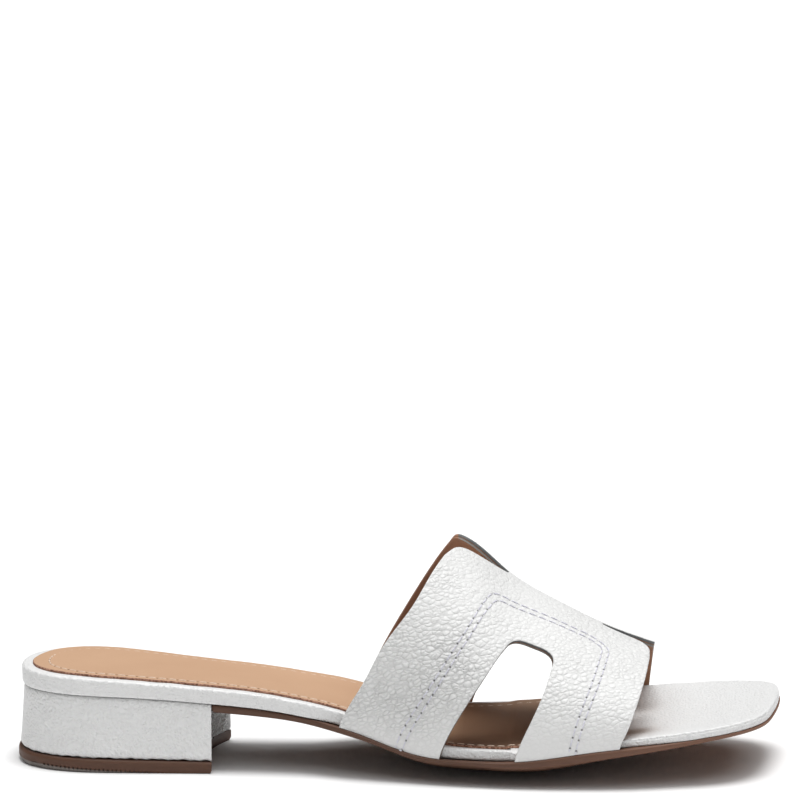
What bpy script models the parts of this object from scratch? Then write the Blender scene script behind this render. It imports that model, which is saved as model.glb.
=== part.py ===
"""Flat-heeled slide sandal for the right foot, with an H-cut leather strap.

Shaping is done in the last's own axes, in millimetres: X runs from the back of the heel to the toe, Y from
the lateral to the medial side, and Z up from the floor. Finished meshes are moved so that the middle of the
sandal's footprint is the origin, and are stored in metres.
"""

import bpy
import numpy as np
from mathutils import Vector
from mathutils.geometry import delaunay_2d_cdt

MM = 0.001
ORIGIN = np.array([124.46, -1.86, 0.0])  # middle of the footprint in the last's axes

GAP = 0.3  # glue line left between two pieces
WALL = 2.0  # strap leather with its lining
SOCK_THICKNESS = 0.8
SOCK_INSET = 3.6
SOCK_FRONT = 185.0
LIFT_BACK = 4.9  # height of the top lift at the back of the heel and at the breast
LIFT_BREAST = 3.7
HEEL_LENGTH = 65.0
# A cut across the sole: where it meets the lateral and the medial side, how far it bows forward between them,
# and the share of the rim's inset by which it moves.
BREAST = {"lateral": 65.2, "medial": 67.2, "bow": -5.0, "share": 0.5}

# Footbed outline, round the shoe from the back of the heel along the lateral side.
OUTLINE = np.array([
    # x, y
    (1.0, -2.0),
    (5.0, -17.6),
    (17.0, -25.6),
    (36.0, -27.3),
    (70.0, -26.6),
    (95.0, -28.0),
    (118.0, -32.8),
    (142.0, -38.9),
    (166.0, -42.4),
    (190.0, -42.5),
    (215.0, -39.8),
    (232.5, -34.1),
    (242.8, -22.0),
    (246.3, -8.5),
    (248.75, 13.0),
    (247.0, 23.6),
    (239.6, 30.9),
    (222.0, 36.8),
    (200.0, 39.2),
    (175.0, 36.8),
    (150.0, 31.2),
    (125.0, 26.0),
    (100.0, 21.6),
    (75.0, 20.8),
    (50.0, 22.8),
    (25.0, 25.2),
    (7.8, 16.8),
])
TOE_TIP_ROW = 14
HEEL_CORNER_X = 9.5
TOE_CORNER_X = 240.0

# Heights of the sole's layers along the footbed's edge, how much lower their middle lies (camber), and how far
# the outsole stands out from the footbed (spread), which is where the strap's legs come down.
SOLE_COLUMNS = ("x", "bottom", "joint", "top", "camber", "spread")
SOLE = np.array([
    (2.0, 23.4, 25.9, 32.1, 0.4, -0.8),
    (16.0, 22.6, 25.2, 31.4, 0.7, -0.8),
    (45.0, 21.4, 24.0, 29.5, 1.0, -0.8),
    (66.0, 19.9, 22.4, 27.7, 1.1, -0.8),
    (82.0, 18.6, 20.9, 26.0, 1.3, -0.8),
    (95.0, 17.0, 19.0, 24.0, 1.8, -0.6),
    (108.0, 14.3, 16.6, 21.4, 2.6, 2.4),
    (121.0, 10.6, 12.6, 17.2, 3.8, 2.8),
    (134.0, 6.9, 9.2, 13.7, 5.0, 2.7),
    (147.0, 6.3, 8.5, 12.4, 6.3, 2.7),
    (160.0, 5.8, 8.6, 12.2, 6.1, 2.7),
    (173.0, 6.5, 9.9, 12.8, 6.6, 2.7),
    (188.0, 8.8, 12.2, 14.7, 5.5, 2.7),
    (203.0, 11.2, 13.8, 16.6, 4.0, 2.3),
    (218.0, 13.5, 15.2, 18.1, 2.7, 0.6),
    (234.0, 16.0, 17.2, 20.0, 1.7, 0.5),
    (251.0, 18.4, 19.6, 22.4, 0.9, 0.5),
])
TOP_CAMBER = 0.5  # the footbed's top is dished by this share of the camber

# The strap's arch over the foot: height and side shift of the instep's ridge.
ARCH_COLUMNS = ("x", "ridge_z", "ridge_y")
ARCH = np.array([
    (95.0, 109.6, 5.0),
    (120.0, 92.4, 5.0),
    (144.0, 75.8, 5.0),
    (152.0, 69.6, 4.6),
    (160.0, 62.3, 4.0),
    (175.0, 53.1, 3.0),
    (191.0, 45.1, 2.5),
    (207.0, 39.0, 2.5),
    (222.0, 33.7, 2.0),
])
RIDGE_POWER = 1.5  # 2 is a round ridge, less is a sharper one
FLANK_POWER = 2.5  # 2 is an ellipse's flank, more is a fuller one
# Cutting pattern of the strap. A place on it is (x, across), with across from -1 at the lateral foot of a leg
# over 0 on the ridge to 1 at the medial foot. This table gives its back and front edges.
EDGE_COLUMNS = ("across", "rear", "front")
EDGES = np.array([
    (-1.0, 107.0, 197.5),
    (-0.9, 114.5, 200.0),
    (-0.8, 119.5, 201.6),
    (-0.6, 129.6, 204.0),
    (-0.4, 136.4, 205.8),
    (-0.15, 143.0, 207.2),
    (0.15, 143.2, 208.5),
    (0.4, 137.6, 208.4),
    (0.6, 130.9, 208.0),
    (0.8, 122.2, 207.4),
    (1.0, 111.5, 206.6),
])
ACROSS_MM = 62.0  # leather length of one unit of across
# Each cut corner: x, across, and how far back from the corner its rounding starts, in mm.
REAR_NOTCH = [(144.8, -0.145, 4.0), (160.7, -0.025, 1.5), (160.7, 0.03, 1.5), (144.6, 0.125, 2.5)]
FRONT_NOTCH = [(208.5, 0.085, 1.5), (191.3, 0.035, 1.2), (191.3, -0.01, 1.2), (207.4, -0.045, 4.0)]
LATERAL_WINDOW = [
    (163.9, -1.0, 0.0), (172.3, -0.78, 10.0), (177.0, -0.452, 5.5),
    (163.6, -0.452, 4.5), (151.6, -0.8, 10.0), (139.6, -1.0, 0.0),
]
MEDIAL_WINDOW = [
    (146.3, 1.0, 0.0), (155.6, 0.8, 10.0), (165.4, 0.452, 4.5),
    (179.2, 0.452, 5.5), (176.2, 0.78, 10.0), (170.8, 1.0, 0.0),
]
PATTERN_STEP = 4.6  # spacing of the strap's mesh


def cubic(knots, values):
    """Natural cubic spline through values at knots."""
    knots = np.asarray(knots, float)
    values = np.asarray(values, float).reshape(len(knots), -1)
    step = np.diff(knots)
    system = np.eye(len(knots))
    bend = np.zeros_like(values)
    for k in range(1, len(knots) - 1):
        system[k, k - 1:k + 2] = step[k - 1], 2 * (step[k - 1] + step[k]), step[k]
        bend[k] = 6 * ((values[k + 1] - values[k]) / step[k] - (values[k] - values[k - 1]) / step[k - 1])
    bend = np.linalg.solve(system, bend)

    def evaluate(t):
        t = np.asarray(t, float)
        k = np.clip(np.searchsorted(knots, t, side="right") - 1, 0, len(step) - 1)
        h = step[k][..., None]
        b = (t - knots[k])[..., None] / h
        a = 1 - b
        curve = a * values[k] + b * values[k + 1]
        curve += ((a**3 - a) * bend[k] + (b**3 - b) * bend[k + 1]) * h**2 / 6
        return curve[..., 0] if values.shape[1] == 1 else curve

    return evaluate


def column_curves(table, names):
    """One smooth curve for each named column of a table, over its first column."""
    return {name: cubic(table[:, 0], table[:, k]) for k, name in enumerate(names) if k}


def dense_outline(count=540):
    """Points and inward normals round the footbed, and the number of the point at the toe's tip."""
    wrap = 4
    rows = np.vstack([OUTLINE[-wrap:], OUTLINE, OUTLINE[:wrap + 1]])
    chord = np.r_[0, np.cumsum(np.linalg.norm(np.diff(rows, axis=0), axis=1))]
    curve = cubic(chord, rows)
    start, tip, end = chord[wrap], chord[wrap + TOE_TIP_ROW], chord[wrap + len(OUTLINE)]
    t = np.linspace(start, end, count + 1)
    points = curve(t)
    tangent = curve(t + 0.1) - curve(t - 0.1)
    normals = np.stack([-tangent[:, 1], tangent[:, 0]], 1)
    normals /= np.linalg.norm(normals, axis=1)[:, None]
    return points, normals, int(round((tip - start) / (end - start) * count))


EDGE_POINTS, EDGE_NORMALS, TIP = dense_outline()
sole = column_curves(SOLE, SOLE_COLUMNS)
arch = column_curves(ARCH, ARCH_COLUMNS)
strap_edge = column_curves(EDGES, EDGE_COLUMNS)


def edge_halves(inset):
    """The outline moved in by inset, which may be a function of x, as its lateral and its medial half."""
    move = inset(EDGE_POINTS[:, 0]) if callable(inset) else inset
    ring = EDGE_POINTS + EDGE_NORMALS * np.reshape(move, (-1, 1))
    return ring[:TIP + 1], ring[TIP:][::-1]


def edge_y(x, side):
    """Y of the footbed's edge at x, on side 0 (lateral) or 1 (medial)."""
    half = edge_halves(0.0)[side]
    return np.interp(x, half[:, 0], half[:, 1])


def crown(x, y):
    """Square of the distance from the sole's middle line, 1 at the footbed's edge."""
    x = np.clip(x, 25.0, 226.0)
    lateral, medial = edge_y(x, 0), edge_y(x, 1)
    return ((y - (lateral + medial) / 2) / ((medial - lateral) / 2)) ** 2


def raised(surface, height):
    """A surface lifted by a height."""
    return lambda x, y: surface(x, y) + height


def footbed_top(x, y):
    """Upper face of the footbed, slightly dished."""
    return sole["top"](x) - TOP_CAMBER * sole["camber"](x) * (1 - crown(x, y))


def joint(x, y):
    """Face between footbed and outsole, cambered under the footbed and level on the ledge round it."""
    return sole["joint"](x) - sole["camber"](x) * (1 - np.minimum(crown(x, y), 1))


def tread(x, y):
    """Underside of the outsole, cambered across and flat where it meets the floor under the ball."""
    return np.maximum(sole["bottom"](x) - sole["camber"](x) * (1 - crown(x, y)), 0.0)


def lift_top(x, y):
    """Sloping plane between the heel and its top lift."""
    return LIFT_BACK + (LIFT_BREAST - LIFT_BACK) * x / HEEL_LENGTH + 0 * y


def flat(height):
    """A level surface."""
    return lambda x, y: np.full(np.shape(x), float(height))


def resample(points, count):
    """The same line as count equal steps."""
    length = np.r_[0, np.cumsum(np.linalg.norm(np.diff(points, axis=0), axis=1))]
    t = np.linspace(0, length[-1], count + 1)
    return np.stack([np.interp(t, length, points[:, k]) for k in (0, 1)], 1)


def cropped(half, x_from, x_to):
    """Part of an outline half between two x values."""
    x = half[:, 0]
    inner = half[(x > x_from + 0.05) & (x < x_to - 0.05)]
    ends = np.array([(v, np.interp(v, x, half[:, 1])) for v in (x_from, x_to)])
    return np.vstack([ends[:1], inner, ends[1:]])


def cut_line(start, end, bow):
    """A cut across the sole from start to end, bowed in x by a parabola."""
    v = np.linspace(0, 1, 25)[:, None]
    line = start * (1 - v) + end * v
    line[:, 0] += bow * 4 * (v * (1 - v))[:, 0]
    return line


def four_sides(inset, edge_inset, back, front, counts):
    """Lateral side, medial side, back end and front end of a sole piece, ends running lateral to medial."""
    lateral, medial = edge_halves(edge_inset)
    x_back, x_front = [HEEL_CORNER_X] * 2, [TOE_CORNER_X] * 2
    if back:
        x_back = [back[side] + inset * back["share"] for side in ("lateral", "medial")]
    if front:
        x_front = [front[side] - inset * front["share"] for side in ("lateral", "medial")]
    sides = [cropped(half, x_back[k], x_front[k]) for k, half in enumerate((lateral, medial))]
    if back:
        back_end = cut_line(sides[0][0], sides[1][0], back["bow"])
    else:
        round_heel = [half[half[:, 0] < HEEL_CORNER_X - 0.05] for half in (lateral, medial)]
        back_end = np.vstack([sides[0][:1], round_heel[0][::-1], round_heel[1][1:], sides[1][:1]])
    if front:
        front_end = cut_line(sides[0][-1], sides[1][-1], front["bow"])
    else:
        round_toe = [half[half[:, 0] > TOE_CORNER_X + 0.05] for half in (lateral, medial)]
        front_end = np.vstack([sides[0][-1:], round_toe[0], round_toe[1][::-1][1:], sides[1][-1:]])
    long_count, end_count = counts
    return (resample(sides[0], long_count), resample(sides[1], long_count),
            resample(back_end, end_count), resample(front_end, end_count))


def patch(sides):
    """Grid filling four sides: the two blends between facing sides, less the blend of the corners."""
    lateral, medial, back, front = sides
    u = np.linspace(0, 1, len(lateral))[:, None, None]
    v = np.linspace(0, 1, len(back))[None, :, None]
    ruled = (1 - v) * lateral[:, None] + v * medial[:, None] + (1 - u) * back[None] + u * front[None]
    corners = (1 - u) * ((1 - v) * back[0] + v * back[-1]) + u * ((1 - v) * front[0] + v * front[-1])
    return ruled - corners


def rim_of(grid):
    """The border of a grid, anticlockwise from above."""
    return np.concatenate([grid[:-1, 0], grid[-1, :-1], grid[:0:-1, -1], grid[0, :0:-1]])


def add_mesh(name, vertices, faces, finish):
    """A named object from points in millimetres, in the part's collection."""
    mesh = bpy.data.meshes.new(name)
    mesh.from_pydata(((np.asarray(vertices) - ORIGIN) * MM).tolist(), [], faces)
    mesh.update()
    mesh.shade_smooth()
    mesh.set_sharp_from_angle(angle=np.radians(40))
    mesh.materials.append(material(name, *finish))
    piece = bpy.data.objects.new(name, mesh)
    part.objects.link(piece)
    return piece


def material(name, colour, roughness):
    """Plain Principled finish of one piece."""
    surface = bpy.data.materials.new(name)
    surface.use_nodes = True
    shader = surface.node_tree.nodes["Principled BSDF"]
    shader.inputs["Base Color"].default_value = (*colour, 1.0)
    shader.inputs["Roughness"].default_value = roughness
    shader.inputs["Metallic"].default_value = 0.0
    return surface


def sole_piece(name, finish, rim, top, bottom, counts, back=None, front=None, spread=None):
    """A closed piece of the sole between two surfaces.

    rim lists (inset, part): how far in from the outline a ring of the side lies, and its part of the way down
    from top to bottom. The first ring borders the top grid and the last one the bottom grid.
    """
    rings = []
    for inset, down in rim:
        edge_inset = (lambda x, i=inset: i - spread(x)) if spread else inset
        flat_grid = patch(four_sides(inset, edge_inset, back, front, counts))
        x, y = flat_grid[..., 0], flat_grid[..., 1]
        z = top(x, y) * (1 - down) + bottom(x, y) * down
        rings.append(np.dstack([flat_grid, z]))
    number = np.arange(rings[0][..., 0].size).reshape(rings[0].shape[:2])
    border = rim_of(number)
    quads = np.stack([number[:-1, :-1], number[1:, :-1], number[1:, 1:], number[:-1, 1:]], -1).reshape(-1, 4)
    vertices = [rings[0].reshape(-1, 3)]
    loops = [border]
    total = number.size
    for grid in rings[1:-1]:
        vertices.append(rim_of(grid))
        loops.append(total + np.arange(len(border)))
        total += len(border)
    vertices.append(rings[-1].reshape(-1, 3))
    loops.append(total + border)
    faces = [quads, total + quads[:, ::-1]]
    for upper, lower in zip(loops[:-1], loops[1:]):
        faces.append(np.stack([lower, np.roll(lower, -1), np.roll(upper, -1), upper], 1))
    return add_mesh(name, np.vstack(vertices), np.vstack(faces).tolist(), finish)


def strap_surface(x, across):
    """Outer face of the strap: a rounded arch from the outsole's ledge on one side to the other.

    On each side of the ridge, across turns the point through a quarter of an oval: its distance out is the
    sine of the turn, and its height is (1 - distance ** RIDGE_POWER) ** (1 / FLANK_POWER).
    """
    medial = across > 0
    foot_y = np.where(medial, edge_y(x, 1) + GAP + WALL, edge_y(x, 0) - GAP - WALL)
    foot_z = joint(x, foot_y) + GAP
    out = np.sin(np.radians(90) * np.abs(across))
    ridge_y = arch["ridge_y"](x)
    y = ridge_y + (foot_y - ridge_y) * out
    z = foot_z + (arch["ridge_z"](x) - foot_z) * (1 - out**RIDGE_POWER) ** (1 / FLANK_POWER)
    return np.stack([x, y, z], -1)


def rounded(corners, steps=5):
    """A line through corners (x, across, reach), each rounded by a parabola that starts at reach from it."""
    scale = np.array([1.0, ACROSS_MM])
    points = np.array([corner[:2] for corner in corners]) * scale
    line = []
    for k, (_, _, reach) in enumerate(corners):
        here = points[k]
        if not reach:
            line.append(here)
            continue
        before, after = points[k - 1] - here, points[(k + 1) % len(points)] - here
        start = here + before / np.linalg.norm(before) * reach
        end = here + after / np.linalg.norm(after) * reach
        for t in np.linspace(0, 1, steps):
            line.append(start * (1 - t) ** 2 + here * 2 * t * (1 - t) + end * t**2)
    return np.array(line)


def along_edge(name, start, end, steps=11):
    """Points of a back or front edge of the strap between two across values."""
    across = np.linspace(start, end, steps)
    return [(x, a, 0.0) for x, a in zip(strap_edge[name](across), across)]


def strap_pattern():
    """Closed outline of the strap in (x, leather length), clockwise round the H."""
    corners = (
        along_edge("rear", -1.0, -0.27) + REAR_NOTCH + along_edge("rear", 0.28, 1.0)
        + MEDIAL_WINDOW
        + along_edge("front", 1.0, 0.2) + FRONT_NOTCH + along_edge("front", -0.22, -1.0)
        + LATERAL_WINDOW
    )
    line = rounded(corners)
    dense = [line[0]]
    for point in np.vstack([line[1:], line[:1]]):
        last = dense[-1]
        parts = max(1, int(np.ceil(np.linalg.norm(point - last) / PATTERN_STEP)))
        dense += [last + (point - last) * k / parts for k in range(1, parts + 1)]
    return np.array(dense[:-1])


def clear_inside(points, loop, clearance):
    """Which points lie inside a closed loop and at least clearance from it."""
    a, b = loop, np.roll(loop, -1, axis=0)
    p = points[:, None]
    crosses = (a[:, 1] > p[..., 1]) != (b[:, 1] > p[..., 1])
    rise = np.where(b[:, 1] == a[:, 1], 1.0, b[:, 1] - a[:, 1])
    at = a[:, 0] + (p[..., 1] - a[:, 1]) * (b[:, 0] - a[:, 0]) / rise
    inside = (crosses & (p[..., 0] < at)).sum(1) % 2 == 1
    along = np.clip(((p - a) * (b - a)).sum(-1) / ((b - a) ** 2).sum(-1), 0, 1)
    distance = np.linalg.norm(a + along[..., None] * (b - a) - p, axis=-1).min(1)
    return inside & (distance > clearance)


def strap(name, finish):
    """The H-cut upper: its flat pattern is meshed, laid over the foot and given the leather's thickness."""
    loop = strap_pattern()
    low, high = loop.min(0), loop.max(0)
    rows = np.arange(low[1], high[1], PATTERN_STEP * 0.87)
    field = [(x + PATTERN_STEP / 2 * (k % 2), s)
             for k, s in enumerate(rows) for x in np.arange(low[0], high[0], PATTERN_STEP)]
    field = np.array(field)
    field = field[clear_inside(field, loop, PATTERN_STEP * 0.55)]
    points = [Vector(p) for p in np.vstack([loop, field])]
    flat_points, _, triangles, *_ = delaunay_2d_cdt(points, [], [list(range(len(loop)))[::-1]], 1, 1e-4)
    flat_points = np.array(flat_points)
    corner = flat_points[np.array(triangles)]
    one, two = corner[:, 1] - corner[:, 0], corner[:, 2] - corner[:, 0]
    turned = one[:, 0] * two[:, 1] - one[:, 1] * two[:, 0] < 0
    faces = [tuple(t[::-1]) if flip else tuple(t) for t, flip in zip(triangles, turned)]
    vertices = strap_surface(flat_points[:, 0], np.clip(flat_points[:, 1] / ACROSS_MM, -1, 1))
    piece = add_mesh(name, vertices, faces, finish)
    thickness = piece.modifiers.new("leather_and_lining", "SOLIDIFY")
    thickness.thickness = WALL * MM
    thickness.offset = -1
    thickness.use_even_offset = True
    return piece


for old in list(bpy.data.objects):
    bpy.data.objects.remove(old, do_unlink=True)
part = bpy.data.collections.new("slide_sandal")
bpy.context.scene.collection.children.link(part)

WHITE_LEATHER = ((0.86, 0.86, 0.84), 0.5)
TAN_LEATHER = ((0.68, 0.45, 0.29), 0.6)
BROWN_SOLE = ((0.13, 0.075, 0.055), 0.6)

outsole_back = {"lateral": BREAST["lateral"] + GAP, "medial": BREAST["medial"] + GAP,
                "bow": BREAST["bow"], "share": 1.0}
sock_front = {"lateral": SOCK_FRONT, "medial": SOCK_FRONT, "bow": 3.0, "share": 1.0}
# rims: (inset from the outline, part of the way down)
outsole_rim = [(0.4, 0.0), (0.0, 0.25), (0.1, 0.7), (0.7, 1.0)]
footbed_rim = [(2.8, 0.0), (1.1, 0.05), (0.3, 0.16), (0.0, 0.38), (0.0, 0.88), (0.5, 1.0)]
sock_rim = [(SOCK_INSET + 0.3, 0.0), (SOCK_INSET, 0.4), (SOCK_INSET, 1.0)]
heel_rim = [(0.8, 0.0), (0.6, 0.02), (0.3, 0.35), (-0.3, 0.8), (-0.8, 1.0)]
lift_rim = [(-0.8, 0.0), (-1.3, 0.2), (-1.3, 0.8), (-0.8, 1.0)]

sole_piece("outsole", BROWN_SOLE, outsole_rim, joint, tread, (30, 10),
           back=outsole_back, spread=sole["spread"])
sole_piece("footbed", WHITE_LEATHER, footbed_rim, footbed_top, raised(joint, GAP), (34, 10))
sole_piece("sock_lining", TAN_LEATHER, sock_rim, raised(footbed_top, GAP + SOCK_THICKNESS),
           raised(footbed_top, GAP), (26, 8), front=sock_front)
sole_piece("heel", WHITE_LEATHER, heel_rim, joint, raised(lift_top, GAP), (8, 10), front=BREAST)
sole_piece("heel_top_lift", BROWN_SOLE, lift_rim, lift_top, flat(0.0), (8, 10), front=BREAST)
strap("upper", WHITE_LEATHER)
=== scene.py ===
"""Dresses a right-foot slide sandal: an H-cut white leather strap on a thin brown outsole with a low block heel.

Every surface is a function of two parameters, in millimetres, in the last's own axes: x runs from the back of the
heel to the toe, y from the lateral to the medial side, z up from the floor. The sole's pieces are patches blended
between the edges of one outline. The strap is a flat pattern in (x, across), laid over the foot by
strap_surface(): across turns the point through a quarter of an oval on each side of the instep's ridge.
"""

import bpy
import numpy as np
from mathutils import Euler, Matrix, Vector
from mathutils.geometry import delaunay_2d_cdt


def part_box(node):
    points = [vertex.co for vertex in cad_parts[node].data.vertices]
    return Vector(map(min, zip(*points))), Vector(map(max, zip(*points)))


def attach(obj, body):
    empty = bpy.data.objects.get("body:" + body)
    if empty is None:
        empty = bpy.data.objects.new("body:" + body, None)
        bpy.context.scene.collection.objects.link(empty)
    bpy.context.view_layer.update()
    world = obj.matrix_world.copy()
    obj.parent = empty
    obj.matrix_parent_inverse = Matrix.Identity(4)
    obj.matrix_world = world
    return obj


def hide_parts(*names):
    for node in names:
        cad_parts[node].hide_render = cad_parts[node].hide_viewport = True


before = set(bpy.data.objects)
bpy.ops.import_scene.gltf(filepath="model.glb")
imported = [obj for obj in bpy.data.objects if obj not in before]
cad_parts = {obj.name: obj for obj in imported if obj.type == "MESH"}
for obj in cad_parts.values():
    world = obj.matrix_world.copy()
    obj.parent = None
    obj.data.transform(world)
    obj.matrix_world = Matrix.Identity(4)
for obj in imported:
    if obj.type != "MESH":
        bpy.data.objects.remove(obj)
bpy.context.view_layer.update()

# Outsole
# A thin sheet of brown moulded rubber, cut to the footbed's outline and a little wider where the strap's legs come
# down. It is glued under the footbed from the heel breast to the toe.

MM = 0.001

# Footbed outline, round the shoe from the back of the heel along the lateral side.
OUTLINE = np.array([
    # x, y
    (1, -2), (5, -17.6), (17, -25.6), (36, -27.3), (70, -26.6), (95, -28), (118, -32.8),
    (142, -38.9), (166, -42.4), (190, -42.5), (215, -39.8), (232.5, -34.1), (242.8, -22),
    (246.3, -8.5), (248.75, 13), (247, 23.6), (239.6, 30.9), (222, 36.8), (200, 39.2), (175, 36.8),
    (150, 31.2), (125, 26), (100, 21.6), (75, 20.8), (50, 22.8), (25, 25.2), (7.8, 16.8),
])
TOE_TIP_ROW = 14
HEEL_CORNER_X, TOE_CORNER_X = 9.5, 240.0  # where the outline's sides turn into its ends
FLANKS = 25.0, 226.0  # the x range in which the outline's two sides give the sole's middle line
CLOSE = 0.05  # a point of the outline this close to a piece's corner is left out
GAP = 0.3  # glue line left between two pieces

# Heights of the sole's layers along the footbed's edge, how much lower their middle lies (camber), and how far the
# outsole stands out from the footbed (spread).
SOLE_COLUMNS = ("x", "bottom", "joint", "top", "camber", "spread")
SOLE = np.array([
    (2, 23.4, 25.9, 32.1, 0.4, -0.8),
    (16, 22.6, 25.2, 31.4, 0.7, -0.8),
    (45, 21.4, 24, 29.5, 1, -0.8),
    (66, 19.9, 22.4, 27.7, 1.1, -0.8),
    (82, 18.6, 20.9, 26, 1.3, -0.8),
    (95, 17, 19, 24, 1.8, -0.6),
    (108, 14.3, 16.6, 21.4, 2.6, 2.4),
    (121, 10.6, 12.6, 17.2, 3.8, 2.8),
    (134, 6.9, 9.2, 13.7, 5, 2.7),
    (147, 6.3, 8.5, 12.4, 6.3, 2.7),
    (160, 5.8, 8.6, 12.2, 6.1, 2.7),
    (173, 6.5, 9.9, 12.8, 6.6, 2.7),
    (188, 8.8, 12.2, 14.7, 5.5, 2.7),
    (203, 11.2, 13.8, 16.6, 4, 2.3),
    (218, 13.5, 15.2, 18.1, 2.7, 0.6),
    (234, 16, 17.2, 20, 1.7, 0.5),
    (251, 18.4, 19.6, 22.4, 0.9, 0.5),
])


def cubic(knots, values):
    """Natural cubic spline through values at knots."""
    knots = np.asarray(knots, float)
    values = np.asarray(values, float).reshape(len(knots), -1)
    step = np.diff(knots)
    system = np.eye(len(knots))
    bend = np.zeros_like(values)
    for k in range(1, len(knots) - 1):
        system[k, k - 1:k + 2] = step[k - 1], 2 * (step[k - 1] + step[k]), step[k]
        bend[k] = 6 * ((values[k + 1] - values[k]) / step[k] - (values[k] - values[k - 1]) / step[k - 1])
    bend = np.linalg.solve(system, bend)

    def evaluate(t):
        t = np.asarray(t, float)
        k = np.clip(np.searchsorted(knots, t, side="right") - 1, 0, len(step) - 1)
        h = step[k][..., None]
        b = (t - knots[k])[..., None] / h
        a = 1 - b
        curve = a * values[k] + b * values[k + 1]
        curve += ((a**3 - a) * bend[k] + (b**3 - b) * bend[k + 1]) * h**2 / 6
        return curve[..., 0] if values.shape[1] == 1 else curve

    return evaluate


def column_curves(table, names):
    """One smooth curve for each named column of a table, over its first column."""
    return {name: cubic(table[:, 0], table[:, k]) for k, name in enumerate(names) if k}


def lengths_along(line):
    """How far along a line each of its points lies."""
    return np.r_[0, np.cumsum(np.linalg.norm(np.diff(line, axis=0), axis=1))]


def points_at(distance, length, line):
    """Points of a line at given distances, length being its lengths_along()."""
    return np.stack([np.interp(distance, length, column) for column in line.T], -1)


def resample(line, count):
    """The same line as count equal steps."""
    length = lengths_along(line)
    return points_at(np.linspace(0, length[-1], count + 1), length, line)


def unit(vectors):
    """The same directions, at length 1."""
    return vectors / np.linalg.norm(vectors, axis=-1, keepdims=True)


def left_of(tangent):
    """Unit normals on the left of a flat line's tangents."""
    return unit(np.stack([-tangent[:, 1], tangent[:, 0]], 1))


def ramp(value, start, end):
    """A straight ramp from 0 at start to 1 at end, level outside them."""
    return np.clip((value - start) / (end - start), 0, 1)


def dense_outline(count=1600):
    """Points and inward normals round the footbed, and the number of the point at the toe's tip."""
    wrap = 4
    rows = np.vstack([OUTLINE[-wrap:], OUTLINE, OUTLINE[:wrap + 1]])
    chord = lengths_along(rows)
    curve = cubic(chord, rows)
    start, tip, end = chord[wrap], chord[wrap + TOE_TIP_ROW], chord[wrap + len(OUTLINE)]
    t = np.linspace(start, end, count + 1)
    normals = left_of(curve(t + 0.1) - curve(t - 0.1))
    return curve(t), normals, int(round((tip - start) / (end - start) * count))


EDGE_POINTS, EDGE_NORMALS, TIP = dense_outline()
sole = column_curves(SOLE, SOLE_COLUMNS)
# the last's axes are moved so that the outline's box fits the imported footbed's box
footbed_box = np.array(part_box("footbed"))[:, :2]
ORIGIN = np.zeros(3)
ORIGIN[:2] = (EDGE_POINTS.min(0) + EDGE_POINTS.max(0)) / 2 - footbed_box.sum(0) / 2 / MM


def edge_halves(inset):
    """The outline moved in by inset, which may be a function of x, as its lateral and its medial half."""
    move = inset(EDGE_POINTS[:, 0]) if callable(inset) else inset
    ring = EDGE_POINTS + EDGE_NORMALS * np.reshape(move, (-1, 1))
    return ring[:TIP + 1], ring[TIP:][::-1]


def edge_y(x, side):
    """Y of the footbed's edge at x, on side 0 (lateral) or 1 (medial)."""
    half = edge_halves(0.0)[side]
    return np.interp(x, half[:, 0], half[:, 1])


def crown(x, y):
    """Square of the distance from the sole's middle line, 1 at the footbed's edge."""
    x = np.clip(x, *FLANKS)
    lateral, medial = edge_y(x, 0), edge_y(x, 1)
    return ((y - (lateral + medial) / 2) / ((medial - lateral) / 2)) ** 2


def joint(x, y):
    """Face between footbed and outsole, cambered under the footbed and level on the ledge round it."""
    return sole["joint"](x) - sole["camber"](x) * (1 - np.minimum(crown(x, y), 1))


def tread(x, y):
    """Underside of the outsole, cambered across and flat where it meets the floor under the ball."""
    return np.maximum(sole["bottom"](x) - sole["camber"](x) * (1 - crown(x, y)), 0.0)


def cropped(half, x_from, x_to):
    """Part of an outline half between two x values."""
    x = half[:, 0]
    inner = half[(x > x_from + CLOSE) & (x < x_to - CLOSE)]
    ends = np.array([(v, np.interp(v, x, half[:, 1])) for v in (x_from, x_to)])
    return np.vstack([ends[:1], inner, ends[1:]])


def cut_line(start, end, bow):
    """A cut across the sole from start to end, bowed in x by a parabola."""
    v = np.linspace(0, 1, 49)[:, None]
    line = start * (1 - v) + end * v
    line[:, 0] += bow * 4 * (v * (1 - v))[:, 0]
    return line


def four_sides(inset, edge_inset, back, front, counts):
    """Lateral side, medial side, back end and front end of a sole piece, ends running lateral to medial.

    back and front say where a piece is cut across: x at either side, the cut's bow, and the share of the inset by
    which the cut moves in. Without them the piece ends at the outline's own round ends.
    """
    halves = edge_halves(edge_inset)
    # each end's cut, the outline's corner there, that corner's place in a side, and the direction of x
    ends = (back, HEEL_CORNER_X, 0, -1), (front, TOE_CORNER_X, -1, 1)
    stops = [[cut[side] - way * inset * cut["share"] for side in ("lateral", "medial")] if cut else [corner] * 2
             for cut, corner, _, way in ends]
    lateral, medial = (cropped(*side) for side in zip(halves, *stops))
    lines = [lateral, medial]
    for cut, corner, at, way in ends:
        if cut:
            lines.append(cut_line(lateral[at], medial[at], cut["bow"]))
        else:
            past = [half[way * half[:, 0] > way * corner + CLOSE] for half in halves]
            lines.append(np.vstack([lateral[[at]], past[0][::way], past[1][::-way][1:], medial[[at]]]))
    return [resample(line, counts[k // 2]) for k, line in enumerate(lines)]


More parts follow.
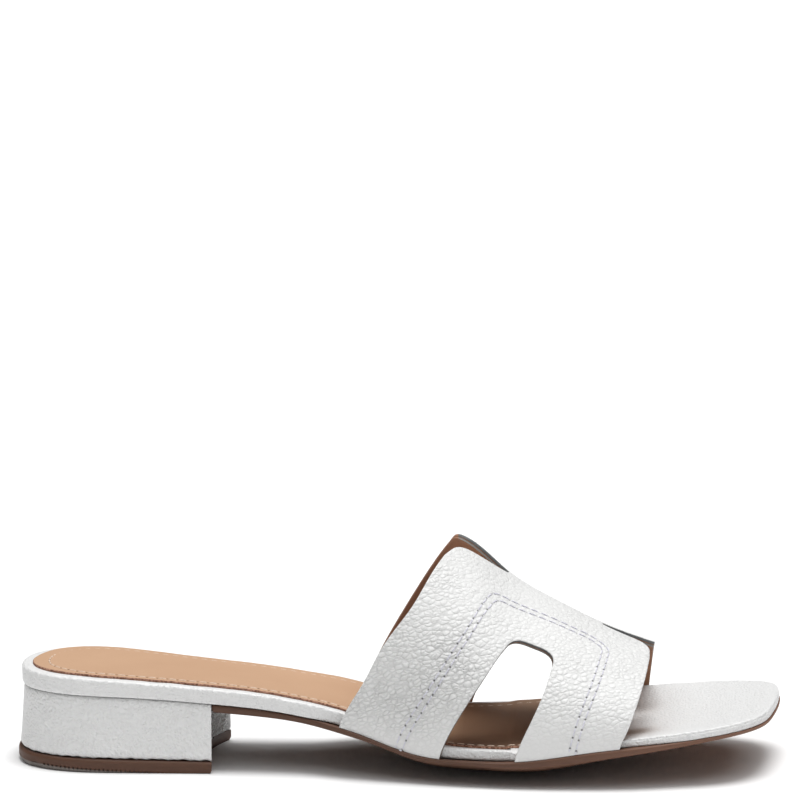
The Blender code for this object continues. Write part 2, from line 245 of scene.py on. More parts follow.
def patch(sides):
    """Grid filling four sides: the two blends between facing sides, less the blend of the corners."""
    lateral, medial, back, front = sides
    u = np.linspace(0, 1, len(lateral))[:, None, None]
    v = np.linspace(0, 1, len(back))[None, :, None]
    ruled = (1 - v) * lateral[:, None] + v * medial[:, None] + (1 - u) * back[None] + u * front[None]
    corners = (1 - u) * ((1 - v) * back[0] + v * back[-1]) + u * ((1 - v) * front[0] + v * front[-1])
    return ruled - corners


def rim_of(grid):
    """The border of a grid, anticlockwise from above."""
    return np.concatenate([grid[:-1, 0], grid[-1, :-1], grid[:0:-1, -1], grid[0, :0:-1]])


def rim_rings(rows, count):
    """A rim's (inset, part of the way down) rows as count + 1 rings, evenly spaced along a profile 6 mm high."""
    rows = np.array(rows, float)
    length = np.r_[0, np.cumsum(np.hypot(np.diff(rows[:, 0]), 6 * np.diff(rows[:, 1])))]
    return points_at(np.linspace(0, length[-1], count + 1), length, rows)


def sole_shell(rim, top, bottom, counts, change, back=None, front=None, spread=None):
    """Closed piece of the sole between two surfaces: its vertices, faces, and each face's part.

    rim is the edge's profile from the top to the bottom, and counts are the steps along, across and down. The
    parts are 0 top, 1 rim and 2 bottom. change(grid, part of the way down) moves each finished ring.
    """
    rings = []
    for inset, down in rim_rings(rim, counts[2]):
        edge_inset = (lambda x, i=inset: i - spread(x)) if spread else inset
        flat_grid = patch(four_sides(inset, edge_inset, back, front, counts))
        x, y = np.moveaxis(flat_grid, -1, 0)
        rings.append(change(np.dstack([flat_grid, top(x, y) * (1 - down) + bottom(x, y) * down]), down))
    number = np.arange(rings[0][..., 0].size).reshape(rings[0].shape[:2])
    border = rim_of(number)
    quads = np.stack([number[:-1, :-1], number[1:, :-1], number[1:, 1:], number[:-1, 1:]], -1).reshape(-1, 4)
    middle = [rim_of(grid) for grid in rings[1:-1]]
    loops = [border] + [number.size + k * len(border) + np.arange(len(border)) for k in range(len(middle))]
    last = number.size + len(middle) * len(border)
    loops.append(last + border)
    walls = np.concatenate([np.stack([lower, np.roll(lower, -1), np.roll(upper, -1), upper], 1)
                            for upper, lower in zip(loops[:-1], loops[1:])])
    faces = np.concatenate([quads, walls, last + quads[:, ::-1]])
    part = np.repeat([0, 1, 2], [len(quads), len(walls), len(quads)])
    vertices = np.concatenate([rings[0].reshape(-1, 3), *middle, rings[-1].reshape(-1, 3)])
    return vertices, faces, part


def in_scene(name, data):
    """A new object of a mesh, light or camera, linked to the scene."""
    made = bpy.data.objects.new(name, data)
    bpy.context.scene.collection.objects.link(made)
    return made


def add_piece(name, shape, finishes, face_finish=None, replaces=None, attributes=None):
    """shape begins with the vertices, in millimetres, and the faces.
    """
    mesh = bpy.data.meshes.new(name)
    mesh.from_pydata((shape[0] - ORIGIN) * MM, [], shape[1])
    for finish in finishes:
        mesh.materials.append(finish)
    if face_finish is not None:
        mesh.polygons.foreach_set("material_index", np.asarray(face_finish, np.int32))
    for label, values in (attributes or {}).items():
        mesh.attributes.new(label, "FLOAT", "POINT").data.foreach_set("value", np.asarray(values, np.float32))
    mesh.update()
    mesh.shade_smooth()
    mesh.set_sharp_from_angle(angle=np.radians(55))
    piece = in_scene(name, mesh)
    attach(piece, "root")
    if replaces:
        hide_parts(replaces)


def linear(hex_colour):
    """An sRGB hex colour as linear RGBA."""
    value = np.array([int(hex_colour[k:k + 2], 16) for k in (1, 3, 5)]) / 255
    value = np.where(value <= 0.04045, value / 12.92, ((value + 0.055) / 1.055) ** 2.4)
    return (*value.tolist(), 1.0)


def connect(node, inputs):
    """Links a node's sockets to other nodes' outputs, or sets them to a value or a hex colour."""
    for key, value in inputs.items():
        if isinstance(value, bpy.types.NodeSocket):
            node.id_data.links.new(value, node.inputs[key])
        else:
            node.inputs[key].default_value = linear(value) if isinstance(value, str) else value


def new_finish(name, roughness, ior=1.5):
    """An empty Principled material, the function that adds a node to it, and its shader."""
    finish = bpy.data.materials.new(name)
    finish.use_nodes = True
    tree = finish.node_tree
    shader = tree.nodes["Principled BSDF"]
    connect(shader, {"Roughness": roughness, "IOR": ior})

    def add(kind, inputs, output=0, **settings):
        """One node with its settings and its links. Gives one of its outputs.

        Sockets that share a name go by number: a Mix has its factor at 0 and its colours at 6 and 7. A Map Range
        has its value at 0, its limits at 1 and 2 (metres, for a place), and what they become at 3 and 4, which are
        0 and 1 if not given.
        """
        made = tree.nodes.new("ShaderNode" + kind)
        for label, value in settings.items():
            setattr(made, label, value)
        connect(made, inputs)
        return made.outputs[output]

    return finish, add, shader


def per_metre(size_mm):
    """A texture's scale for a pattern that repeats every size_mm."""
    return 1000.0 / size_mm


# Moulded rubber: matt, with faint streaks along the edge where it was trimmed. Its colour shows as dark chocolate.
# It grows paler toward the toe, which is painted light bounced from the floor, and an attribute makes the lift's
# bevel greyer and paler, partly a greyer tone and partly painted light from the floor.
brown_rubber, add, shader = new_finish("moulded_brown_rubber", 0.55, 1.38)
where = add("TexCoord", {}, "Object")
streaks = add("Mapping", {"Vector": where, "Scale": (0.15, 0.15, 1.0)})
trimmed = add("TexNoise", {"Vector": streaks, "Scale": per_metre(0.8), "Detail": 3.0})
speckle = add("TexNoise", {"Vector": where, "Scale": per_metre(0.5)})
along = add("SeparateXYZ", {0: where}, "X")
# painted light: the rubber grows paler toward the toe, as if lit from the floor below
painted_floor_light = add("MapRange", {0: along, 1: 0.03, 2: 0.115, 4: 0.8})
# painted light from the floor, with a greyer tone, on the lift's bevel
bevel_grey_and_floor_light = add("Attribute", {}, "Fac", attribute_name="bevel_grey_and_floor_light")
tint = "#4a3327"
for share, shade in ((trimmed, "#624333"), (painted_floor_light, "#7d5a48"), (bevel_grey_and_floor_light, "#77716d")):
    tint = add("Mix", {0: share, 6: tint, 7: shade}, 2, data_type="RGBA")
height = add("Math", {0: trimmed, 1: speckle}, operation="ADD")
bump = add("Bump", {"Height": height, "Strength": 0.5, "Distance": 0.05 * MM})
connect(shader, {"Base Color": tint, "Normal": bump})

BREAST = {"lateral": 65.2, "medial": 67.2, "bow": -5.0, "share": 0.1}  # front cut of the heel
outsole_back = {"lateral": BREAST["lateral"] + GAP, "medial": BREAST["medial"] + GAP,
                "bow": BREAST["bow"], "share": 1.0}
OUTSOLE_RIM = [(0.6, 0), (0.25, 0.03), (0, 0.25), (0.1, 0.7), (0.35, 0.93), (0.8, 1)]
TOE_DRAWN = 0.6  # how far the sole's tip is drawn forward of the outline


def toe_out(grid, down):
    """The sole's toe drawn forward, by a ramp from x = 234 to 242."""
    grid = grid.copy()
    grid[..., 0] += TOE_DRAWN * ramp(grid[..., 0], 234, 242)
    return grid


sheet = sole_shell(OUTSOLE_RIM, joint, tread, (180, 44, 10), toe_out, back=outsole_back, spread=sole["spread"])
add_piece("outsole_sheet", sheet, [brown_rubber], replaces="outsole")

# Footbed
# Insole board wrapped in fine-grained white leather. The wrap's side is the rand that shows all round, and at the
# open toe it covers the top too. It is lasted over the edge, so its corners are soft and slightly uneven.

FOOTBED_RIM = [(2.8, 0), (1.2, 0.008), (0.6, 0.03), (0.22, 0.075), (0.05, 0.14), (0, 0.22), (0.1, 0.86),
               (0.22, 0.94), (0.55, 1)]
TOP_DISH = 0.5  # the footbed's top is dished by this share of the camber
MIDDLE_Y = 2.0  # between the sole's two sides
TOE_COVER_X = 162.6  # the toe's own cover starts here, over the end of the rand
COVER_END = 0.45  # how much prouder than the rest the cover's cut end stands
RIM_CROWN = 0.8  # a point whose crown() is above this lies on the sole's rim


def footbed_top(x, y):
    """Upper face of the footbed, slightly dished."""
    return sole["top"](x) - TOP_DISH * sole["camber"](x) * (1 - crown(x, y))


def raised(surface, height):
    """A surface lifted by a height."""
    return lambda x, y: surface(x, y) + height


def glued_face(x, y):
    """Underside of the footbed, a glue line above the outsole that a ramp along x closes up under the toe."""
    return joint(x, y) + GAP - 0.24 * ramp(x, 190, 205)


def outward(x, y, rim=RIM_CROWN, middle=MIDDLE_Y):
    """Direction away from the sole's middle: -1 or 1 where crown() is above rim, and 0 further in."""
    return np.sign(y - middle) * (crown(x, y) > rim)


def hand_lasted(grid, down):
    """Small soft unevenness of leather pulled over an edge: a few crossed sine waves, up to 0.1 mm."""
    x, y, z = np.moveaxis(grid, -1, 0)
    wave = np.sin(x / 3.1 + np.sin(x / 7.7)) * np.sin(z / 2.3 + x / 11.0) + 0.6 * np.sin(x / 1.7 + y / 5.0)
    grid = toe_out(grid, down)
    grid[..., 2] += 0.05 * wave * (1 - down)
    grid[..., 1] += 0.04 * wave * outward(x, y)
    return grid


def bell(value, width):
    """A bell curve: exp(-(value / width) ** 2)."""
    return np.exp(-((value / width) ** 2))


def mottled_finish(name, roughness, cloud_mm, detail, shades):
    """A finish whose colour drifts between two shades over one noise.

    It gives what new_finish() gives, and the coordinates, the noise and the colour.
    """
    finish, add, shader = new_finish(name, roughness)
    where = add("TexCoord", {}, "Object")
    cloud = add("TexNoise", {"Vector": where, "Scale": per_metre(cloud_mm), "Detail": detail})
    tint = add("Mix", {0: cloud, 6: shades[0], 7: shades[1]}, 2, data_type="RGBA")
    connect(shader, {"Base Color": tint})
    return finish, add, shader, where, cloud, tint


# Full-grain leather pressed with a fine grain and finished in opaque white: a soft sheen broken by shallow pits.
# Where the attribute "gathered" is high the grain is rougher and pleated. Another attribute says where painted
# shade, with a painted brown reflection of the strap's lining, lies on the toe cover.
fine_white, add, shader, where, slow, tint = mottled_finish(
    "fine_grain_white_leather", 0.42, cloud_mm=2.6, detail=3.0, shades=("#dcdcdc", "#e2e2e1"))
bend = add("TexNoise", {"Vector": where, "Scale": per_metre(6)}, "Color")
bent = add("VectorMath", {0: bend, 1: (0.4 * MM,) * 3, 2: where}, operation="MULTIPLY_ADD")
grain = add("TexVoronoi", {"Vector": bent, "Scale": per_metre(0.8)}, feature="SMOOTH_F1")
fine = add("TexNoise", {"Vector": where, "Scale": per_metre(0.45)})
gathered = add("Attribute", {}, "Fac", attribute_name="gathered")
pleats = add("MapRange", {0: gathered, 1: 0.3, 2: 1.2, 3: 0.15, 4: 3.5})
height = add("Math", {0: slow, 1: pleats}, operation="MULTIPLY")
for relief, weight in ((fine, 0.4), (grain, -4.0)):
    height = add("Math", {0: relief, 1: weight, 2: height}, operation="MULTIPLY_ADD")
rougher = add("Math", {0: gathered, 1: 3.0, 2: 1.0}, operation="MULTIPLY_ADD")
height = add("Math", {0: height, 1: rougher}, operation="MULTIPLY")
bump = add("Bump", {"Height": height, "Distance": 0.1 * MM})
# painted shade and painted brown reflection from the strap's lining
painted_lining_shade = add("Attribute", {}, "Fac", attribute_name="painted_lining_shade")
tint = add("Mix", {0: painted_lining_shade, 6: tint, 7: "#8f8279"}, 2, data_type="RGBA")
connect(shader, {"Base Color": tint, "Normal": bump})

wrap = sole_shell(FOOTBED_RIM, footbed_top, glued_face, (220, 60, 22), hand_lasted)
add_piece("footbed_wrap", wrap, [fine_white], replaces="footbed")

# the toe's own cover, a thin layer over the end of the rand, with a wider roll at its edge
COVER_LIFT = 0.12  # its face above the wrap's
toe_back = {"lateral": TOE_COVER_X, "medial": TOE_COVER_X, "bow": 0.0, "share": 0.0}
TOE_RIM = [(4.3, 0), (2.9, 0.02), (1.8, 0.06), (0.9, 0.14), (0.2, 0.27), (-0.15, 0.42), (-0.2, 0.86),
           (-0.1, 0.94), (0.3, 1)]


def thick_end(x):
    """How much prouder the cover stands by its cut end, a bell curve along x."""
    return COVER_END * bell(x - TOE_COVER_X, 12)


def toe_cover_shape(grid, down):
    """Hand-lasted leather, thicker at its cut end."""
    x, y, _ = np.moveaxis(grid, -1, 0)
    grid = hand_lasted(grid, down)
    grid[..., 2] += thick_end(x) * (1 - down)
    grid[..., 1] += thick_end(x) * outward(x, y)
    return grid


cover = sole_shell(TOE_RIM, raised(footbed_top, COVER_LIFT), glued_face, (110, 60, 22), toe_cover_shape,
                   back=toe_back)
# painted shade with a painted brown reflection of the strap's lining, on the cover at both ends of the strap's
# opening: a bell curve in x and in y
x, y, _ = cover[0].T
painted_lining_shade = bell(np.maximum(x - 203.0, 0), 5.5)
painted_lining_shade *= 0.04 + 0.95 * bell(y + 27.0, 7.0) + 0.4 * bell(y - 10.0, 9.0)
add_piece("toe_cover", cover, [fine_white], attributes={"painted_lining_shade": painted_lining_shade})

# Sock lining
# Smooth tan leather glued on the footbed from the heel to under the strap's front. Its edge is cut raw, so the
# brown core shows as a thin uneven line, and one row of stitches follows the edge round the heel.

SOCK_INSET = 3.6
SOCK_TOP = 0.8  # its face above the footbed's
sock_front = {"lateral": 185.0, "medial": 185.0, "bow": 3.0, "share": 1.0}


def over_cover(x):
    """How far the lining is lifted where it runs over the toe cover's end: a smooth step along x."""
    step = ramp(x - TOE_COVER_X, -2.5, 0.5)
    return thick_end(x) * step * step * (3 - 2 * step)


def raw_cut(grid, down):
    """A knife-cut edge that wanders: crossed sine waves along the edge, up to 0.2 mm.

    The back's medial corner is cut up to 1 mm shorter, by ramps in x and y, and the front lies over the toe cover.
    """
    x, y, _ = np.moveaxis(grid, -1, 0)
    wander = np.sin(x / 0.9 + np.sin(x / 2.9) * 2) + np.sin(x / 2.3 + 1.3) + 0.7 * np.sin(x / 0.47 + y)
    grid = grid.copy()
    grid[..., 1] += 0.07 * wander * outward(x, y, rim=0.6)
    grid[..., 0] += ramp(x, 26, 6) * ramp(y, -5, 7)
    grid[..., 2] += over_cover(x)
    return grid


# Vegetable-tanned lining leather: almost even tan, with faint clouds and tiny pores. An attribute says where
# painted shade darkens it under the strap.
tan_leather, add, shader, where, _, tint = mottled_finish(
    "smooth_tan_lining_leather", 0.5, cloud_mm=18, detail=4.0, shades=("#bb9577", "#c5a182"))
pores = add("TexNoise", {"Vector": where, "Scale": per_metre(0.5)})
# painted shade under the strap
painted_strap_shadow = add("Attribute", {}, "Fac", attribute_name="painted_strap_shadow")
tint = add("Mix", {0: painted_strap_shadow, 6: tint, 7: "#4f3627"}, 2, data_type="RGBA")
bump = add("Bump", {"Height": pores, "Strength": 0.4, "Distance": 0.05 * MM})
connect(shader, {"Base Color": tint, "Normal": bump})

# The leather's raw core at the cut: short brown fibres.
raw_core, add, shader = new_finish("raw_leather_core", 0.85)
where = add("TexCoord", {}, "Object")
fibre = add("TexNoise", {"Vector": where, "Scale": per_metre(0.7), "Detail": 4.0})
fibre = add("MapRange", {0: fibre, 1: 0.35, 2: 0.65})
tint = add("Mix", {0: fibre, 6: "#643f30", 7: "#b48871"}, 2, data_type="RGBA")
bump = add("Bump", {"Height": fibre, "Distance": 0.15 * MM})
connect(shader, {"Base Color": tint, "Normal": bump})

SOCK_RIM = [(SOCK_INSET + 0.25, 0), (SOCK_INSET + 0.05, 0.12), (SOCK_INSET, 0.4), (SOCK_INSET, 1)]
sock = sole_shell(SOCK_RIM, raised(footbed_top, SOCK_TOP), raised(footbed_top, 0.05), (420, 40, 5), raw_cut,
                  front=sock_front)
# painted shade under the strap, deepest along the lateral edge
x, y, _ = sock[0].T
painted_strap_shadow = (0.62 * ramp(x, 136, 146) + 0.25 * ramp(-y, 16, 30)) * ramp(x, 130, 138)
add_piece("sock_cover", sock, [tan_leather, raw_core],
          face_finish=np.where(sock[2] == 1, 1, 0), replaces="sock_lining", attributes={"painted_strap_shadow": painted_strap_shadow})

# Sock lining stitching
# One row of fine tan thread inside the sock lining's edge, from under the strap round the heel and back. The needle
# leaves a small dark hole between stitches.

SOCK_PITCH = 3.3
SOCK_THREAD = 0.2
SOCK_ROW_END = 172  # x of both ends of the row, under the strap
TWIST = 2.2  # length in which a thread's two plies turn once


def threads(starts, ends, place, radius, rise, stations=13, around=8):
    """Closed two-ply threads from starts to ends along a row: vertices and faces.

    A thread's middle follows place(distance) and stands rise * (1 - t ** 6) above its ends, t running from -1 to 1.
    Its section is a circle, swollen by the cosine of twice the angle less the twist, and closed at both tips.
    """
    t = np.linspace(-1, 1, stations)
    distance = (starts + ends)[:, None] / 2 + (ends - starts)[:, None] / 2 * t
    centre, normal = place(distance)
    across = np.cross(normal, unit(np.gradient(centre, axis=1)))
    centre = centre + normal * (rise * (1 - t**6) - rise * 0.8)[:, None]  # the ends are sunk by 0.8 of the rise
    angle = np.arange(around) * 2 * np.pi / around
    swell = 1 + 0.16 * np.cos(2 * (angle - distance[..., None] * 2 * np.pi / TWIST))
    reach = radius * swell * np.sqrt(np.maximum(1 - t**10 * 0.96, 0))[:, None]
    rings = (centre[:, :, None] + across[:, :, None] * (np.cos(angle) * reach)[..., None]
             + normal[:, :, None] * (np.sin(angle) * reach)[..., None])
    count = len(starts)
    vertices = np.concatenate([rings.reshape(-1, 3), centre[:, [0, -1]].reshape(-1, 3)])
    number = np.arange(count * stations * around).reshape(count, stations, around)
    after = np.roll(number, -1, axis=2)
    sides = np.stack([number[:, :-1], after[:, :-1], after[:, 1:], number[:, 1:]], -1).reshape(-1, 4)
    tips = count * stations * around + np.arange(2 * count).reshape(count, 2, 1) + np.zeros(around, int)
    near = np.stack([tips[:, 0], after[:, 0], number[:, 0]], -1).reshape(-1, 3)
    far = np.stack([tips[:, 1], number[:, -1], after[:, -1]], -1).reshape(-1, 3)
    return vertices, sides.tolist() + near.tolist() + far.tolist()


def pits(centres, normals, radius, depth, around=10):
    """Small closed dark cones let into a surface: a ring just proud of it, with a point above and one below."""
    angle = np.arange(around) * 2 * np.pi / around
    along = unit(np.cross(normals, (0.0, 1.0, 0.3)))
    over = np.cross(normals, along)
    ring = (centres + normals * 0.02)[:, None] + np.reshape(radius, (-1, 1, 1)) * (
        np.cos(angle)[:, None] * along[:, None] + np.sin(angle)[:, None] * over[:, None])
    vertices = np.concatenate([ring.reshape(-1, 3), centres + normals * 0.04, centres - normals * depth])
    number = np.arange(ring.shape[0] * around).reshape(-1, around)
    after = np.roll(number, -1, axis=1)
    top = number.size + np.arange(len(centres))[:, None] + 0 * number
    caps = np.stack([top, number, after], -1).reshape(-1, 3)
    cones = np.stack([top + len(centres), after, number], -1).reshape(-1, 3)
    return vertices, caps.tolist() + cones.tolist()


def sock_row_inset(x):
    """The row lies 3 mm inside the lining's edge, and bends further in, by a bell curve, round the heel."""
    return SOCK_INSET + 3.0 + 2.4 * bell(x, 15.0)


row_lateral, row_medial = (half[half[:, 0] < SOCK_ROW_END] for half in edge_halves(sock_row_inset))
sock_line = resample(np.concatenate([row_lateral[::-1], row_medial]), 900)
sock_length = lengths_along(sock_line)
sock_stops = np.arange(1.0, sock_length[-1], SOCK_PITCH)


def on_sock(distance):
    """Distances along the row, laid on the sock lining's face, and the normals there."""
    x, y = np.moveaxis(points_at(distance, sock_length, sock_line), -1, 0)
    height = footbed_top(x, y) + SOCK_TOP + over_cover(x) - 0.2 * (y > 4)  # drawn tighter on the medial side
    slope = footbed_top(x + 0.5, y) - footbed_top(x - 0.5, y)
    return np.stack([x, y, height], -1), unit(np.stack([-slope, 0 * x, 0 * x + 1], -1))


# Fine cotton-wrapped thread, a shade lighter than the leather.
tan_thread = mottled_finish("fine_tan_thread", 0.6, cloud_mm=0.25, detail=2.0, shades=("#d3bda9", "#e4d4c5"))[0]
STITCH_GAP = 0.35  # from a needle hole to the stitch's visible end
stitches = threads(sock_stops[:-1] + STITCH_GAP, sock_stops[1:] - STITCH_GAP, on_sock, SOCK_THREAD, rise=0.28)
add_piece("sock_stitches", stitches, [tan_thread])

# The holes' walls are raw leather in shade.
hole_shade, _, shader = new_finish("needle_hole_shade", 0.9)
connect(shader, {"Base Color": "#5c3d2c"})
holes_at, hole_normals = on_sock(sock_stops)
hole_radius = np.where(holes_at[:, 1] < -2, 0.38, 0.14)  # pulled open on the lateral side
add_piece("sock_needle_holes", pits(holes_at, hole_normals, hole_radius, depth=0.3), [hole_shade])

# Heel
# Low block heel wrapped in the same fine-grained white leather, with a concave breast.

LIFT_BACK, LIFT_BREAST, HEEL_LENGTH = 4.9, 3.7, 65.0
HEEL_RIM = [(1.4, 0), (0.9, 0.01), (0.6, 0.06), (0.3, 0.35), (-0.3, 0.8), (-0.7, 0.945), (-0.45, 0.975), (0.5, 1)]
HEEL_MIDDLE_Y = -2.2


def lift_top(x, y):
    """Sloping plane between the heel and its top lift."""
    return LIFT_BACK + (LIFT_BREAST - LIFT_BACK) * x / HEEL_LENGTH + 0 * y


def wrapped(grid, down):
    """The wrap's lower edge is trimmed by hand, and the leather is gathered into pleats across the breast.

    The edge is two sine waves along it, up to 0.2 mm. The pleats are two crossed sine waves, up to 0.5 mm.
    """
    x, y, z = np.moveaxis(grid, -1, 0)
    grid = grid.copy()
    pleat = 0.35 * np.sin(y / 0.85 + 1.4 * np.sin(z / 2.2)) + 0.15 * np.sin(z / 0.9 + y / 3.0)
    grid[-1, :, 0] += (pleat * ramp(np.abs(y - HEEL_MIDDLE_Y), 24, 18))[-1]
    grid[..., 2] += 0.1 * (np.sin(x / 0.55) + np.sin(x / 1.37 + y)) * ramp(down, 0.9, 0.95)
    return grid


block = sole_shell(HEEL_RIM, joint, raised(lift_top, GAP), (260, 90, 30), wrapped, front=BREAST)
x, y, _ = block[0].T
# the breast lies in front of an arc across the block, inside its side edges: there the leather is rough and pleated
at_breast = (x > 56 - 6 * crown(36.0, y)) & (np.abs(y - HEEL_MIDDLE_Y) < 22.0)
add_piece("heel_cover", block, [fine_white], replaces="heel",
          attributes={"gathered": np.where(at_breast, 1.2, 0.15)})

# Heel top lift
# Brown rubber plate under the heel. From its back toward the breast its lower edge is ground back to a bevel, and
# the fine ribs moulded across its underside end there in a row of nicks.

RIB_PITCH = 1.42
LIFT_RIM = [(-0.5, 0), (-1.05, 0.06), (-1.3, 0.2), (-1.3, 0.8), (-1.1, 0.95), (-0.8, 1)]


def bevel_height(x):
    """How tall the bevel is: 1.8 mm at the back, sloping away to nothing before the breast."""
    return np.clip(2.2 - 0.042 * x, 0.0, 1.8)


def ribbed(grid, down):
    """The plate's lower edge is bevelled under, by 0.4 of the bevel's height.

    The ribs' grooves, half sines along x, end in nicks 0.9 mm deep along the top of the bevel. At the breast the
    lower edge leans back by 0.6 mm.
    """
    x, y, z = np.moveaxis(grid, -1, 0)
    tall = bevel_height(x)
    bevel = 0.4 * tall * np.clip(1 - z / np.maximum(tall, 0.01), 0, 1)
    nick = 0.9 * np.clip(1.6 * np.sin(2 * np.pi * x / RIB_PITCH), 0, 1) * bell(z - tall, 0.28)
    grid = grid.copy()
    grid[..., 1] -= (bevel + nick * ramp(tall, 0, 0.5)) * outward(x, y, rim=0.5, middle=-2.0)
    grid[..., 0] += bevel * ramp(x, 14, 2) - 0.6 * ramp(x, 58, 64) * ramp(down, 0.7, 1.0)
    return grid


lift = sole_shell(LIFT_RIM, lift_top, lambda x, y: 0 * x, (720, 36, 30), ribbed, front=BREAST)
x, _, z = lift[0].T
# the bevel gets a greyer tone and painted light from the floor
bevel_grey_and_floor_light = 0.9 * ramp(bevel_height(x) - z, 0, 0.3) * ramp(z, 0, 0.1)  # the bevel, but not the underside
add_piece("top_lift", lift, [brown_rubber], replaces="heel_top_lift", attributes={"bevel_grey_and_floor_light": bevel_grey_and_floor_light})

# Upper
# One H-cut strap of pebbled white leather, lined with thin brown leather. Its cut edges are painted grey. The flat
# pattern is meshed, laid over the foot and given its thickness.

LEATHER, WALL = 1.25, 2.0  # thickness of the leather, and of leather and lining together
ARCH_COLUMNS = ("x", "ridge_z", "ridge_y")
ARCH = np.array([
    (95, 109.6, 5), (120, 92.4, 5), (144, 75.8, 5), (152, 69.6, 4.6), (160, 62.3, 4),
    (175, 53.1, 3), (191, 45.1, 2.5), (207, 39, 2.5), (222, 33.7, 2),
])
RIDGE_POWER, FLANK_POWER = 1.5, 2.5
EDGE_COLUMNS = ("across", "rear", "front")
EDGES = np.array([
    (-1, 107, 197.5), (-0.9, 114.5, 200), (-0.8, 119.5, 201.6), (-0.6, 129.6, 204), (-0.4, 136.4, 205.8),
    (-0.15, 143, 207.2), (0.15, 143.2, 208.5), (0.4, 137.6, 208.4), (0.6, 130.9, 208), (0.8, 122.2, 207.4),
    (1, 111.5, 206.6),
])
ACROSS_MM = 62.0  # leather length of one unit of across
# Each cut corner: x, across, and how far back from the corner its rounding starts, in mm.
REAR_NOTCH = [(144.8, -0.145, 4), (153.5, -0.102, 5), (160.7, -0.025, 1.5),
              (160.7, 0.03, 1.5), (152.5, 0.055, 3.2), (144.2, 0.108, 6)]
FRONT_NOTCH = [(208.5, 0.085, 1.5), (191.3, 0.035, 1.2), (191.3, -0.01, 1.2), (206.9, -0.05, 5.5)]
# The same for both sides at once: lateral x, medial x, how far across, and the rounding.
WINDOW = [(163.9, 170.8, 1, 0), (172.3, 176.2, 0.78, 10), (177, 179.2, 0.452, 5.5),
          (163.6, 165.4, 0.452, 4.5), (151.6, 155.6, 0.8, 10), (139.6, 146.3, 1, 0)]
arch = column_curves(ARCH, ARCH_COLUMNS)
strap_edge = column_curves(EDGES, EDGE_COLUMNS)


def strap_surface(x, across):
    """Outer face of the strap: a rounded arch from the outsole's ledge on one side to the other.

    On each side of the ridge, across turns the point through a quarter of an oval: its distance out is the
    sine of the turn, and its height is (1 - distance ** RIDGE_POWER) ** (1 / FLANK_POWER).
    """
    foot_y = np.where(across > 0, edge_y(x, 1) + GAP + WALL, edge_y(x, 0) - GAP - WALL)
    foot_z = joint(x, foot_y) + GAP / 3
    out = np.sin(np.radians(90) * np.abs(across))
    ridge_y = arch["ridge_y"](x)
    y = ridge_y + (foot_y - ridge_y) * out
    z = foot_z + (arch["ridge_z"](x) - foot_z) * np.maximum(1 - out**RIDGE_POWER, 0) ** (1 / FLANK_POWER)
    return np.stack([x, y, z], -1)


def on_strap(flat):
    """Flat points (x, leather length) laid on the strap's outer face, and the normals there.

    A normal is the cross product of the face's slopes along x and across.
    """
    x, across = flat[..., 0], np.clip(flat[..., 1] / ACROSS_MM, -1, 1)
    inner = np.clip(across, -0.995, 0.995)  # so that the slope is taken on both sides of a point
    along = strap_surface(x + 0.2, inner) - strap_surface(x - 0.2, inner)
    over = strap_surface(x, inner + 0.004) - strap_surface(x, inner - 0.004)
    return strap_surface(x, across), unit(np.cross(along, over))


def rounded(corners, steps=9):
    """A line through corners (x, across, reach), each rounded by a parabola that starts at reach from it."""
    points = np.array([corner[:2] for corner in corners]) * (1.0, ACROSS_MM)
    line = []
    for k, (_, _, reach) in enumerate(corners):
        here = points[k]
        if not reach:
            line.append(here)
            continue
        start = here + unit(points[k - 1] - here) * reach
        end = here + unit(points[(k + 1) % len(points)] - here) * reach
        line += [start * (1 - t) ** 2 + here * 2 * t * (1 - t) + end * t**2 for t in np.linspace(0, 1, steps)]
    return np.array(line)


def on_side(corners, side):
    """A table's corners on side 0 (lateral) or 1 (medial), as (x, across, reach)."""
    return [(corner[side], (-1, 1)[side] * corner[2], corner[3]) for corner in corners]


def along_edge(name, start, end, steps=45):
    """Points of a back or front edge of the strap between two across values."""
    across = np.linspace(start, end, steps)
    return [(x, a, 0.0) for x, a in zip(strap_edge[name](across), across)]


def strap_pattern(step):
    """Closed outline of the strap in (x, leather length), anticlockwise, as points about step apart."""
    line = rounded(
        along_edge("rear", -1.0, -0.27) + REAR_NOTCH + along_edge("rear", 0.28, 1.0)
        + on_side(WINDOW, 1)[::-1]
        + along_edge("front", 1.0, 0.2) + FRONT_NOTCH + along_edge("front", -0.22, -1.0)
        + on_side(WINDOW, 0)
    )[::-1]
    dense = [line[0]]
    for point in np.vstack([line[1:], line[:1]]):
        last = dense[-1]
        parts = max(1, int(np.ceil(np.linalg.norm(point - last) / step)))
        dense += [last + (point - last) * k / parts for k in range(1, parts + 1)]
    return np.array(dense[:-1])


def in_slices(points, size=1000):
    """Points in slices of about a size, so that what is worked out for each pair of points fits in memory."""
    return np.array_split(points, max(1, len(points) // size))


def clear_inside(points, loop, clearance):
    """Which points lie inside a closed loop and at least clearance from it."""
    a, b = loop, np.roll(loop, -1, axis=0)
    keep = []
    for p in in_slices(points):
        p = p[:, None]
        crosses = (a[:, 1] > p[..., 1]) != (b[:, 1] > p[..., 1])
        rise = np.where(b[:, 1] == a[:, 1], 1.0, b[:, 1] - a[:, 1])
        at = a[:, 0] + (p[..., 1] - a[:, 1]) * (b[:, 0] - a[:, 0]) / rise
        inside = (crosses & (p[..., 0] < at)).sum(1) % 2 == 1
        along = np.clip(((p - a) * (b - a)).sum(-1) / ((b - a) ** 2).sum(-1), 0, 1)
        distance = np.linalg.norm(a + along[..., None] * (b - a) - p, axis=-1).min(1)
        keep.append(inside & (distance > clearance))
    return np.concatenate(keep)


def nearest(points, targets):
    """Distance from each point to the nearest of some targets."""
    return np.concatenate([np.linalg.norm(p[:, None] - targets, axis=-1).min(1) for p in in_slices(points)])


